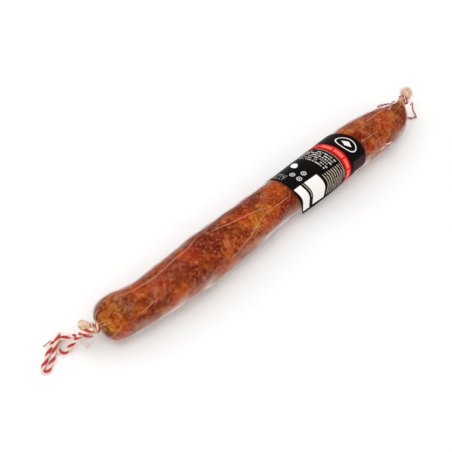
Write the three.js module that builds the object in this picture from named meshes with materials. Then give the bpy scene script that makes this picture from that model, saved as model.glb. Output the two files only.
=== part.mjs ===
// A cured sausage, shrink-wrapped in clear film, tied at both necks with red and cream twine, with a printed
// label round it. Millimetres, +Z up. X runs along the sausage, from the end with the hanging loop to the
// other end, and the finished group stands with the middle of its underside at the origin.
import * as THREE from 'three';

// The sausage
const bodyLength = 434; // between the two necks
const bodyRadius = 26.4; // at the fattest place
const restPress = 1; // how deep the underside is pressed flat by its own weight
const nearNeckRadius = 4.6;
const farNeckRadius = 4.2;
const nearTailSize = 5.6; // half width of the gathered casing beyond the near tie
const farTailSize = 6.6; // radius of the casing bulb beyond the far tie

// What is round it
const clearance = 0.3; // kept between neighbouring pieces
const filmThickness = 0.4;
const labelThickness = 0.3;
const labelStart = 31; // from the middle of the body to the label's near edge, along the top
const labelLength = 97;
const labelLean = 5; // how far the label is wound askew
const labelBow = 10; // how far its far edge curves back down the sides
const labelFrontAngle = 114; // degrees from the top, down the front, to the label's free edge
const labelBackAngle = -138; // degrees from the top, down the back
const labelLooseAngle = 76; // where the free corner starts to stand off

// The twine
const twineDiameter = 4.2; // the loose near twine, which hangs the sausage
const tightTwineDiameter = 2.8; // the same twine where it is pulled tight round the neck
const farTwineDiameter = 2; // the thinner far twine
const threadDiameter = 1.2; // one loose ply
const nearTieTurns = 1;
const farTieTurns = 1.25;

// How finely surfaces are divided
const ringSides = 32;
const bodyRings = 48;
const labelRows = 12;
const labelColumns = 30;
const tubeSides = 8;
const stopsPerTurn = 12;

const neckLengthFor = (diameter, turns) => turns * (diameter + clearance) + diameter + 2 * clearance;
const nearNeckLength = neckLengthFor(tightTwineDiameter, nearTieTurns);
const farNeckLength = neckLengthFor(farTwineDiameter, farTieTurns);
const filmOffset = clearance + filmThickness; // from the casing to the outside of the film
const labelOffset = filmOffset + clearance; // from the casing to the inside of the label
const slopeStep = 0.004; // share of the outline either side of a place, to read the slope there
const { clamp, degToRad, lerp, smoothstep } = THREE.MathUtils;

// The body's outline: [share of the length from the middle, sideways, lift, share of the radius].
const bodyOutline = [
  [-0.5, 6.4, 23, nearNeckRadius / bodyRadius],
  [-0.4955, 5.6, 10, 0.46],
  [-0.486, 4.9, 3, 0.73],
  [-0.467, 4.6, 0.4, 0.88],
  [-0.435, 3.4, 0, 0.92],
  [-0.38, -0.6, 0, 0.88],
  [-0.28, -2.6, 0, 0.95],
  [-0.19, -2.5, 0, 1],
  [-0.09, -1, 0, 0.95],
  [0.02, 2, 0, 0.87],
  [0.09, 2.6, 0, 0.85],
  [0.19, 1, 0, 0.91],
  [0.3, 0.8, 0, 0.93],
  [0.36, -0.4, 0, 0.92],
  [0.42, -0.6, 0.3, 0.81],
  [0.457, -0.5, 3, 0.67],
  [0.48, 0.5, 9, 0.5],
  [0.493, 3, 17, 0.32],
  [0.5, 6.6, 27.4, farNeckRadius / bodyRadius],
];

// A smooth line through rows of numbers, all read at the same share of the way along.
function smoothRows(rows) {
  const lines = rows[0].map((_, k) => new THREE.CatmullRomCurve3(
    rows.map((row) => new THREE.Vector3(row[k], 0, 0)), false, 'catmullrom', 0.5));
  return (share) => lines.map((line) => line.getPoint(share).x);
}
const outlineAt = smoothRows(bodyOutline);

// Centre and radius of the body at a share of the way along, moved out by offset from the casing.
function bodyStation(share, offset = 0) {
  const read = (s) => {
    const [along, side, lift, radius] = outlineAt(clamp(s, 0, 1));
    return { x: along * bodyLength, y: side, lift, r: radius * bodyRadius };
  };
  const here = read(share);
  const before = read(share - slopeStep);
  const after = read(share + slopeStep);
  const slope = Math.atan2(after.r - before.r, after.x - before.x);
  const centre = new THREE.Vector3(here.x, here.y, filmOffset + here.r - restPress + here.lift);
  centre.x -= offset * Math.sin(slope);
  return { centre, radius: here.r + offset * Math.cos(slope) };
}

// The share of the outline at which the body reaches x.
function shareAt(x) {
  let low = 0;
  let high = 1;
  for (let k = 0; k < 40; k += 1) {
    const middle = (low + high) / 2;
    if (bodyStation(middle).centre.x < x) low = middle;
    else high = middle;
  }
  return (low + high) / 2;
}

// A point at an angle from the top of a station, towards the front (-Y), kept at or above the floor height.
// Spread widens the ring sideways, and turn swings it about the upright line through its centre.
function roundPoint(station, angle, floor, spread = 1, turn = 0) {
  const side = -Math.sin(angle) * station.radius * spread;
  const height = station.centre.z + Math.cos(angle) * station.radius;
  return new THREE.Vector3(
    station.centre.x - Math.sin(turn) * side,
    station.centre.y + Math.cos(turn) * side,
    Math.max(height, floor),
  );
}

function ringAt(station, floor, spread, turn) {
  return Array.from({ length: ringSides }, (_, k) => (
    roundPoint(station, Math.PI - (k / ringSides) * 2 * Math.PI, floor, spread, turn)));
}

// Rings from neck to neck. The outline's points lie closest at the blunt ends, so the rings do too.
const casingRings = Array.from({ length: bodyRings + 1 }, (_, k) =>
  ringAt(bodyStation(k / bodyRings), -Infinity));

// The same rings moved out of the casing along its own normals, which lean where the ends are askew.
function bodyRingsAt(offset, floor) {
  return casingRings.map((ring, i) => ring.map((point, j) => {
    const along = casingRings[Math.min(i + 1, bodyRings)][j].clone().sub(casingRings[Math.max(i - 1, 0)][j]);
    const round = ring[(j + 1) % ringSides].clone().sub(ring[(j + ringSides - 1) % ringSides]);
    const moved = along.cross(round).normalize().multiplyScalar(offset).add(point);
    moved.z = Math.max(moved.z, floor);
    return moved;
  }));
}

function geometryOf(points, faces) {
  const geometry = new THREE.BufferGeometry().setFromPoints(points);
  geometry.setIndex(faces.flat());
  geometry.computeVertexNormals();
  return geometry;
}

// A closed solid through a run of rings, with its two ends drawn to their middles.
function solidOfRings(rings) {
  const sides = rings[0].length;
  const points = rings.flat();
  const middle = (ring) => ring.reduce((sum, p) => sum.add(p), new THREE.Vector3()).divideScalar(sides);
  const first = points.push(middle(rings[0])) - 1;
  const last = points.push(middle(rings.at(-1))) - 1;
  const lastRing = (rings.length - 1) * sides;
  const faces = [];
  for (let j = 0; j < sides; j += 1) {
    const next = (j + 1) % sides;
    for (let i = 0; i < rings.length - 1; i += 1) {
      const a = i * sides;
      faces.push([a + j, a + sides + j, a + sides + next], [a + j, a + sides + next, a + next]);
    }
    faces.push([first, j, next], [last, lastRing + next, lastRing + j]);
  }
  return geometryOf(points, faces);
}

// A closed solid between an outer and an inner grid of points. With wrap, each row is a full ring.
function solidOfSheet(outer, inner, wrap) {
  const rows = outer.length;
  const columns = outer[0].length;
  const points = [...outer.flat(), ...inner.flat()];
  const outside = (i, j) => i * columns + (j % columns);
  const inside = (i, j) => rows * columns + outside(i, j);
  const faces = [];
  const quad = (a, b, c, d) => faces.push([a, b, c], [a, c, d]);
  const lastColumn = wrap ? columns : columns - 1;
  for (let j = 0; j < lastColumn; j += 1) {
    for (let i = 0; i < rows - 1; i += 1) {
      quad(outside(i, j), outside(i + 1, j), outside(i + 1, j + 1), outside(i, j + 1));
      quad(inside(i, j), inside(i, j + 1), inside(i + 1, j + 1), inside(i + 1, j));
    }
    quad(outside(0, j), outside(0, j + 1), inside(0, j + 1), inside(0, j));
    quad(outside(rows - 1, j + 1), outside(rows - 1, j), inside(rows - 1, j), inside(rows - 1, j + 1));
  }
  if (!wrap) {
    for (let i = 0; i < rows - 1; i += 1) {
      const j = columns - 1;
      quad(outside(i + 1, 0), outside(i, 0), inside(i, 0), inside(i + 1, 0));
      quad(outside(i, j), outside(i + 1, j), inside(i + 1, j), inside(i, j));
    }
  }
  return geometryOf(points, faces);
}

function tubeAlong(points, diameter, steps) {
  const path = new THREE.CatmullRomCurve3(points.map((p) => new THREE.Vector3(...p)), false, 'centripetal');
  const corners = Array.from({ length: tubeSides }, (_, k) => {
    const angle = (k / tubeSides) * 2 * Math.PI;
    return new THREE.Vector2(Math.cos(angle), Math.sin(angle)).multiplyScalar(diameter / 2);
  });
  const settings = { steps, extrudePath: path, bevelEnabled: false };
  return new THREE.ExtrudeGeometry(new THREE.Shape(corners), settings);
}

const nearNeck = bodyStation(0).centre;
const farNeck = bodyStation(1).centre;

// Rings of the gathered casing beyond a neck. Each lies so far along, aside and up from the neck's end, and is
// turned towards the back by its turn in degrees.
function tailRings(neck, reach, rows) {
  return rows.map(({ along, side, up, turn, wide, high }) => {
    const station = {
      centre: new THREE.Vector3(neck.x + reach + Math.sign(reach) * along, neck.y + side, neck.z + up),
      radius: high,
    };
    return ringAt(station, 0, wide / high, degToRad(turn));
  });
}

function sausageGeometry() {
  const n = nearTailSize;
  const near = tailRings(nearNeck, -nearNeckLength, [
    { along: 1.35 * n, side: 2.4 * n, up: 0.5 * n, turn: -44, wide: 0.45 * n, high: 0.3 * n },
    { along: 1.1 * n, side: 1.95 * n, up: 0.42 * n, turn: -44, wide: 0.85 * n, high: 0.6 * n },
    { along: 0.72 * n, side: 1.3 * n, up: 0.3 * n, turn: -40, wide: n, high: 0.8 * n },
    { along: 0.36 * n, side: 0.7 * n, up: 0.16 * n, turn: -28, wide: 0.92 * n, high: 0.85 * n },
    { along: 0, side: 0, up: 0, turn: 0, wide: nearNeckRadius, high: nearNeckRadius },
  ]);
  const f = farTailSize;
  const far = tailRings(farNeck, farNeckLength, [
    { along: 0, side: 0, up: 0, turn: 0, wide: farNeckRadius, high: farNeckRadius },
    { along: 0.25 * f, side: 0.25 * f, up: 0.25 * f, turn: 14, wide: 0.86 * f, high: 0.86 * f },
    { along: 0.75 * f, side: 0.5 * f, up: 0.5 * f, turn: 20, wide: f, high: f },
    { along: 1.25 * f, side: 0.72 * f, up: 0.72 * f, turn: 24, wide: 0.8 * f, high: 0.8 * f },
    { along: 1.52 * f, side: 0.82 * f, up: 0.82 * f, turn: 26, wide: 0.4 * f, high: 0.4 * f },
  ]);
  return solidOfRings([...near, ...bodyRingsAt(0, filmOffset), ...far]);
}

function filmGeometry() {
  return solidOfSheet(bodyRingsAt(filmOffset, 0), bodyRingsAt(clearance, filmThickness), true);
}

// The label wraps over the top from low on the back to low on the front, where its near corner stands off
// straight instead of following the film.
function labelPoint(share, angle, offset) {
  const bow = labelBow * (1 - Math.cos(angle - degToRad(25))) * share;
  const along = labelStart + share * labelLength + labelLean * Math.sin(angle) - bow;
  const station = bodyStation(shareAt(along), offset);
  const hugging = roundPoint(station, angle, 0);
  const looseFrom = degToRad(labelLooseAngle);
  if (angle <= looseFrom) return hugging;
  const straight = roundPoint(station, looseFrom, 0);
  const run = (angle - looseFrom) * station.radius;
  straight.y -= Math.cos(looseFrom) * run;
  straight.z -= Math.sin(looseFrom) * run;
  return hugging.lerp(straight, 1 - smoothstep(share, 0, 0.95));
}

function labelGeometry() {
  const front = degToRad(labelFrontAngle);
  const back = degToRad(labelBackAngle);
  const grid = (offset) => Array.from({ length: labelRows + 1 }, (_, i) => (
    Array.from({ length: labelColumns + 1 }, (__, j) => (
      labelPoint(i / labelRows, lerp(front, back, j / labelColumns), offset)))));
  return solidOfSheet(grid(labelOffset + labelThickness), grid(labelOffset), false);
}

// Turns of twine round a neck, starting at an angle from the top.
function tieGeometry(neck, direction, neckRadius, diameter, turns, startAngle) {
  const radius = neckRadius + clearance + diameter / 2 / Math.cos(Math.PI / tubeSides);
  const rise = turns * (diameter + clearance);
  const stops = Math.ceil(turns * stopsPerTurn);
  const points = Array.from({ length: stops + 1 }, (_, k) => {
    const share = k / stops;
    const angle = degToRad(startAngle) + share * turns * 2 * Math.PI;
    return [
      neck.x + direction * (diameter / 2 + clearance + share * rise),
      neck.y - radius * Math.sin(angle),
      neck.z + radius * Math.cos(angle),
    ];
  });
  return tubeAlong(points, diameter, stops * 2);
}

// The hanging loop: one length of twine that leaves the tie, crosses itself, and returns to the tie.
const hangingLoop = [
  [-225.6, 6.4, 16.6], [-229.2, 8.6, 16.2], [-232.9, 11.7, 15], [-235.9, 15.9, 12.9], [-239.9, 20.5, 10.2],
  [-244.4, 25, 8.2], [-249.8, 27.8, 7.2], [-255.3, 29.2, 6.9], [-260.8, 30.3, 5], [-265.6, 28.8, 2.6],
  [-272.2, 24, 2.5], [-278.8, 18.9, 2.5], [-283.3, 15.6, 2.5], [-285.2, 13, 2.5], [-283.9, 10.4, 2.5],
  [-280, 10.6, 2.5], [-274.4, 14.3, 2.5], [-269, 18.1, 2.5], [-264.9, 22, 3.4], [-261.8, 24.6, 7.2],
  [-258.8, 26.4, 10.6], [-254.9, 28.6, 11.9], [-250.8, 32.2, 9.8], [-250.4, 34, 5.8], [-253.4, 32.2, 2.5],
  [-257.4, 27, 2.5], [-259.9, 21.6, 2.5], [-259, 17.3, 2.5], [-255, 15.5, 2.9], [-249.9, 15.6, 5],
  [-244.9, 15.6, 9], [-240.4, 14.6, 14.6], [-237.2, 12.8, 21.4], [-235, 10.4, 28.4], [-232.4, 7.6, 34],
  [-229, 4.4, 36.4], [-225.4, 1.2, 37.4],
];

// One loose ply sticks out of the knot, and the far twine's third end hangs from its tie to the surface.
const looseThread = [[-260.4, 33.8, 6], [-265, 34.8, 3], [-269.2, 35.8, 0.8]];
const farHangingEnd = [
  [221.6, -3.4, 30.6], [226, -2.4, 29], [229.2, -1.4, 22], [230.8, -2.8, 13], [232.8, -5.6, 5.4],
  [234.2, -7.6, 1.6], [230.4, -6.9, 1.3], [224.8, -2.4, 1.3],
];

// The other two far ends lie on the film: [share of the body's length from the middle, degrees from the top].
const farTopEnd = [[0.485, -52], [0.472, -40], [0.456, -22], [0.436, -6]];
const farBackEnd = [[0.482, -84], [0.468, -70], [0.452, -62], [0.436, -58]];

function pathOnFilm(route) {
  const away = filmOffset + clearance + farTwineDiameter / 2;
  return route.map(([along, angle]) => {
    const station = bodyStation(shareAt(along * bodyLength), away);
    return roundPoint(station, degToRad(angle), 0).toArray();
  });
}

const pieces = [
  ['sausage', '#8c4026', 0.55, sausageGeometry()],
  ['clear_film', '#e8dcd4', 0.1, filmGeometry()],
  ['label', '#140a0c', 0.35, labelGeometry()],
  ['near_tie', '#c9302c', 0.85,
    tieGeometry(nearNeck, -1, nearNeckRadius, tightTwineDiameter, nearTieTurns, 0)],
  ['hanging_loop', '#d8463c', 0.85, tubeAlong(hangingLoop, twineDiameter, 78)],
  ['near_loose_thread', '#e0a49c', 0.85, tubeAlong(looseThread, threadDiameter, 5)],
  ['far_tie', '#c9564e', 0.85,
    tieGeometry(farNeck, 1, farNeckRadius, farTwineDiameter, farTieTurns, 30)],
  ['far_top_end', '#d9a08c', 0.85, tubeAlong(pathOnFilm(farTopEnd), farTwineDiameter, 10)],
  ['far_back_end', '#d9a08c', 0.85, tubeAlong(pathOnFilm(farBackEnd), farTwineDiameter, 10)],
  ['far_hanging_end', '#cf7a70', 0.85, tubeAlong(farHangingEnd, farTwineDiameter, 20)],
];

const freeTwine = ['hanging_loop', 'near_loose_thread', 'far_hanging_end'];
const group = new THREE.Group();
for (const [name, color, roughness, geometry] of pieces) {
  const mesh = new THREE.Mesh(geometry, new THREE.MeshStandardMaterial({ color, roughness, metalness: 0 }));
  mesh.name = name;
  group.add(mesh);
}

// The origin is under the middle of the object without its free twine.
const extent = new THREE.Box3();
for (const mesh of group.children) {
  if (!freeTwine.includes(mesh.name)) extent.expandByObject(mesh, true);
}
const middle = extent.getCenter(new THREE.Vector3());
group.position.set(-middle.x, -middle.y, -extent.min.z);

export default group;
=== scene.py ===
import math

import bmesh
import bpy
import numpy as np
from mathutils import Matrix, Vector, noise


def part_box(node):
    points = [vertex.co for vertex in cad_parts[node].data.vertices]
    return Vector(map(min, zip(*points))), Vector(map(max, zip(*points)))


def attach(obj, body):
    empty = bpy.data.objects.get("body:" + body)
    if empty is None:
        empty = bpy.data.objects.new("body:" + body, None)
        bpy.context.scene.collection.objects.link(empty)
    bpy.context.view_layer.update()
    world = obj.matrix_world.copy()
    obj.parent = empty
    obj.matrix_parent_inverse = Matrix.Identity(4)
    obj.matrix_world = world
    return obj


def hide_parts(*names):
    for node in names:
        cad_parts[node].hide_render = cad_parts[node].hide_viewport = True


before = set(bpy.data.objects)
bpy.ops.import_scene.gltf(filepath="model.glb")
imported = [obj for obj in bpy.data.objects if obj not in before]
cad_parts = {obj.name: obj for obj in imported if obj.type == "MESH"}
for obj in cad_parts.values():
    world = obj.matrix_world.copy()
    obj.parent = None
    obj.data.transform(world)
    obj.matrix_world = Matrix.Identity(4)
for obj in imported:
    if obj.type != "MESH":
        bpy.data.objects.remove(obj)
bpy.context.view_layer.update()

bl_info = {
    "name": "Cured sausage",
    "version": (1, 0, 0),
    "blender": (4, 5, 0),
    "location": "View3D > Sidebar > Sausage",
    "description": "Makes a cured sausage in clear shrink film, with its label and its striped twine",
    "category": "Add Mesh",
}

MM = 0.001


# ---- Where the body is, read off the CAD solid

class Ring:
    """One cross-section of a lofted piece: a middle, a half width across it and a half height."""

    def __init__(self, middle, half_width, half_height, turn=0.0, slope=0.0, share=0.0):
        self.middle = middle
        self.half_width = half_width
        self.half_height = half_height
        self.across = Vector((-math.sin(turn), math.cos(turn), 0))
        self.slope = slope
        self.share = share

    def outward(self, angle):
        """The direction away from the middle, at an angle in radians from the top towards the front."""
        return self.across * -math.sin(angle) + Vector((0, 0, math.cos(angle)))

    def normal(self, angle):
        """The outward direction, leaning along the sausage where its outline slopes."""
        return self.outward(angle) * math.cos(self.slope) - Vector((math.sin(self.slope), 0, 0))

    def point(self, angle):
        side = self.across * (-math.sin(angle) * self.half_width)
        return self.middle + side + Vector((0, 0, math.cos(angle) * self.half_height))


class Body:
    """The casing's middle line and radius along X, in metres, from the upright rings of a CAD node."""

    def __init__(self, node_name):
        self.rows = self.upright_rings(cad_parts[node_name].data)
        self.last = len(self.rows) - 1
        self.steps = np.linspace(0, self.last, 60 * self.last)
        self.dense = np.array([self.row(step) for step in self.steps])
        along = np.hypot(np.diff(self.dense[:, 0]), np.diff(self.dense[:, 3]))
        self.arc = np.concatenate([[0], np.cumsum(along)])
        self.near = self.ring_at_step(0)
        self.far = self.ring_at_step(self.last)

    @staticmethod
    def upright_rings(mesh):
        """Rows of X, sideways middle, top and radius. A ring is a set of corners that share one X."""
        together = 2e-5
        corners = sorted((tuple(vertex.co) for vertex in mesh.vertices))
        groups = [[corners[0]]]
        for corner in corners[1:]:
            if corner[0] - groups[-1][-1][0] < together:
                groups[-1].append(corner)
            else:
                groups.append([corner])
        fewest = 24
        rows = []
        for group in groups:
            places = {(round(y, 5), round(z, 5)) for _, y, z in group}
            if len(places) >= fewest:
                ys = [y for _, y, _ in group]
                top = max(z for _, _, z in group)
                rows.append((group[0][0], (min(ys) + max(ys)) / 2, top, (max(ys) - min(ys)) / 2))
        # The first and last rings are the outer ends of the straight necks.
        return np.array(rows)[1:-1]

    def row(self, step):
        """A smooth line through the rings, at a whole or part step from the first."""
        first = int(min(max(math.floor(step), 0), self.last - 1))
        t = step - first
        before = self.rows[max(first - 1, 0)]
        start = self.rows[first]
        end = self.rows[first + 1]
        after = self.rows[min(first + 2, self.last)]
        bend = 2 * before - 5 * start + 4 * end - after
        twist = 3 * (start - end) + after - before
        return start + 0.5 * t * ((end - before) + t * (bend + t * twist))

    def ring_at_step(self, step):
        x, y, top, radius = self.row(step)
        reach = 0.15
        behind = self.row(max(step - reach, 0))
        ahead = self.row(min(step + reach, self.last))
        slope = math.atan2(ahead[3] - behind[3], ahead[0] - behind[0])
        return Ring(Vector((x, y, top - radius)), radius, radius, slope=slope, share=step / self.last)

    def ring(self, x):
        return self.ring_at_step(float(np.interp(x, self.dense[:, 0], self.steps)))

    def rings(self, spacing):
        """Rings from neck to neck, evenly spaced along the outline."""
        count = int(self.arc[-1] / spacing)
        steps = np.interp(np.linspace(0, self.arc[-1], count + 1), self.arc, self.steps)
        return [self.ring_at_step(float(step)) for step in steps]

    def point(self, x, degrees, lift):
        """A point over the casing at X and an angle from the top towards the front."""
        ring = self.ring(x)
        angle = math.radians(degrees)
        place = ring.point(angle) + ring.normal(angle) * lift
        place.z = max(place.z, FLOOR_GAP)
        return place


FLOOR_GAP = 0.15 * MM
BODY = Body("sausage")
NEAR_NECK_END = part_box("near_tie")[0].x - 0.3 * MM
FAR_NECK_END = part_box("far_tie")[1].x + 0.3 * MM
FILM_LIFT = 0.75 * MM


def smooth_step(low, high, value):
    t = min(max((value - low) / (high - low), 0.0), 1.0)
    return t * t * (3 - 2 * t)


def curve_through(points, spacing):
    """Evenly spaced points on a smooth curve through given ones (centripetal Catmull-Rom)."""
    knots = [Vector(point) for point in points]
    knots = [knots[0] * 2 - knots[1]] + knots + [knots[-1] * 2 - knots[-2]]
    fine = []
    per_span = 24
    for a, b, c, d in zip(knots, knots[1:], knots[2:], knots[3:]):
        ta = 0.0
        tb = ta + math.sqrt((b - a).length)
        tc = tb + math.sqrt((c - b).length)
        td = tc + math.sqrt((d - c).length)
        for k in range(per_span):
            t = tb + (tc - tb) * k / per_span
            ab = a.lerp(b, (t - ta) / (tb - ta))
            bc = b.lerp(c, (t - tb) / (tc - tb))
            cd = c.lerp(d, (t - tc) / (td - tc))
            abc = ab.lerp(bc, (t - ta) / (tc - ta))
            bcd = bc.lerp(cd, (t - tb) / (td - tb))
            fine.append(abc.lerp(bcd, (t - tb) / (tc - tb)))
    fine.append(knots[-2])
    lengths = np.concatenate([[0], np.cumsum([(q - p).length for p, q in zip(fine, fine[1:])])])
    count = max(2, int(round(lengths[-1] / spacing)))
    wanted = np.linspace(0, lengths[-1], count + 1)
    columns = [np.interp(wanted, lengths, [p[axis] for p in fine]) for axis in range(3)]
    return [Vector(place) for place in zip(*columns)]


# ---- Routes of the twine, in the row's frame and in millimetres. They repeat the CAD routes.

# The CAD routes are written from the middle of the body; this moves them to the row's origin.
ROUTE_SHIFT = Vector((-0.32, 0.35, 0))

HANGING_LOOP = [
    (-225.6, 6.4, 16.6), (-229.2, 8.6, 16.2), (-232.9, 11.7, 15), (-235.9, 15.9, 12.9), (-239.9, 20.5, 10.2),
    (-244.4, 25, 8.2), (-249.8, 27.8, 7.2), (-255.3, 29.2, 6.9), (-260.8, 30.3, 5), (-265.6, 28.8, 2.6),
    (-272.2, 24, 2.5), (-278.8, 18.9, 2.5), (-283.3, 15.6, 2.5), (-285.2, 13, 2.5), (-283.9, 10.4, 2.5),
    (-280, 10.6, 2.5), (-274.4, 14.3, 2.5), (-269, 18.1, 2.5), (-264.9, 22, 3.4), (-261.8, 24.6, 7.2),
    (-258.8, 26.4, 10.6), (-254.9, 28.6, 11.9), (-250.8, 32.2, 9.8), (-250.4, 34, 5.8), (-253.4, 32.2, 2.5),
    (-257.4, 27, 2.5), (-259.9, 21.6, 2.5), (-259, 17.3, 2.5), (-255, 15.5, 2.9), (-249.9, 15.6, 5),
    (-244.9, 15.6, 9), (-240.4, 14.6, 14.6), (-237.2, 12.8, 21.4), (-235, 10.4, 28.4), (-232.4, 7.6, 34),
    (-229, 4.4, 36.4), (-225.4, 1.2, 37.4),
]
LOOSE_THREAD = [(-260.4, 33.8, 6), (-265, 34.8, 3), (-269.2, 35.8, 0.8)]
FAR_HANGING_END = [
    (221.6, -3.4, 30.6), (226, -2.4, 29), (229.2, -1.4, 22), (230.8, -2.8, 13), (232.8, -5.6, 5.4),
    (234.2, -7.6, 1.6), (230.4, -6.9, 1.3), (224.8, -2.4, 1.3),
]
# On the film, as X in millimetres and degrees from the top.
FAR_TOP_END = [(210.5, -52), (204.8, -40), (197.9, -22), (189.2, -6)]
CAUGHT_END = [(152, 80), (158, 74), (164, 78), (171, 76)]
FAR_BACK_END = [(209.2, -84), (203.1, -70), (196.2, -62), (189.2, -58)]


def route(points):
    return [(Vector(point) + ROUTE_SHIFT) * MM for point in points]


def film_route(points, lift):
    return [BODY.point((x + ROUTE_SHIFT.x) * MM, degrees, lift) for x, degrees in points]


# ---- Small helpers

def linear(code):
    """A linear RGBA colour from an sRGB hex value."""
    channels = [((code >> shift) & 255) / 255 for shift in (16, 8, 0)]
    return tuple(c / 12.92 if c <= 0.04045 else ((c + 0.055) / 1.055) ** 2.4 for c in channels) + (1.0,)


def add_node(tree, kind, inputs=None, **settings):
    """Add a node with its settings, and set or link its inputs."""
    node = tree.nodes.new(kind)
    for name, value in settings.items():
        setattr(node, name, value)
    for key, value in (inputs or {}).items():
        if isinstance(value, bpy.types.NodeSocket):
            tree.links.new(value, node.inputs[key])
        else:
            node.inputs[key].default_value = value
    return node


def set_stops(ramp, stops):
    """Give a colour ramp its stops, as places and sRGB hex values."""
    elements = ramp.color_ramp.elements
    while len(elements) > 1:
        elements.remove(elements[-1])
    for index, (place, code) in enumerate(stops):
        element = elements[0] if index == 0 else elements.new(place)
        element.position = place
        element.color = linear(code)


def new_material(name):
    """A material with only its Principled shader and output."""
    material = bpy.data.materials.new(name)
    material.use_nodes = True
    tree = material.node_tree
    return material, tree, tree.nodes["Principled BSDF"]


def show(name, mesh, materials):
    """Put a mesh in the scene, smooth shaded, riding on the only body."""
    for material in materials:
        if material.name not in mesh.materials:
            mesh.materials.append(material)
    mesh.name = name
    piece = bpy.data.objects.new(name, mesh)
    bpy.context.scene.collection.objects.link(piece)
    mesh.shade_smooth()
    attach(piece, "root")
    return piece


def grid_mesh(name, rows, wrap, caps=False):
    """A mesh over rows of points. With wrap a row is a full ring, and caps close the two ends."""
    columns = len(rows[0])
    points = [point for row in rows for point in row]
    faces = []
    last = columns if wrap else columns - 1
    for i in range(len(rows) - 1):
        for j in range(last):
            k = (j + 1) % columns
            faces.append((i * columns + j, i * columns + k, (i + 1) * columns + k, (i + 1) * columns + j))
    if caps:
        for row, turned in ((0, True), (len(rows) - 1, False)):
            middle = sum(rows[row], Vector()) / columns
            points.append(middle)
            for j in range(columns):
                edge = (row * columns + j, row * columns + (j + 1) % columns)
                faces.append((*(reversed(edge) if turned else edge), len(points) - 1))
    mesh = bpy.data.meshes.new(name)
    mesh.from_pydata(points, [], faces)
    mesh.update()
    return mesh


def set_point_values(mesh, name, values):
    attribute = mesh.attributes.new(name, "FLOAT", "POINT")
    attribute.data.foreach_set("value", values)


def outward_faces(mesh):
    """Turn a closed mesh's faces out."""
    work = bmesh.new()
    work.from_mesh(mesh)
    bmesh.ops.recalc_face_normals(work, faces=work.faces)
    work.to_mesh(mesh)
    work.free()


# ---- Geometry Nodes: twine laid along a route

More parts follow.
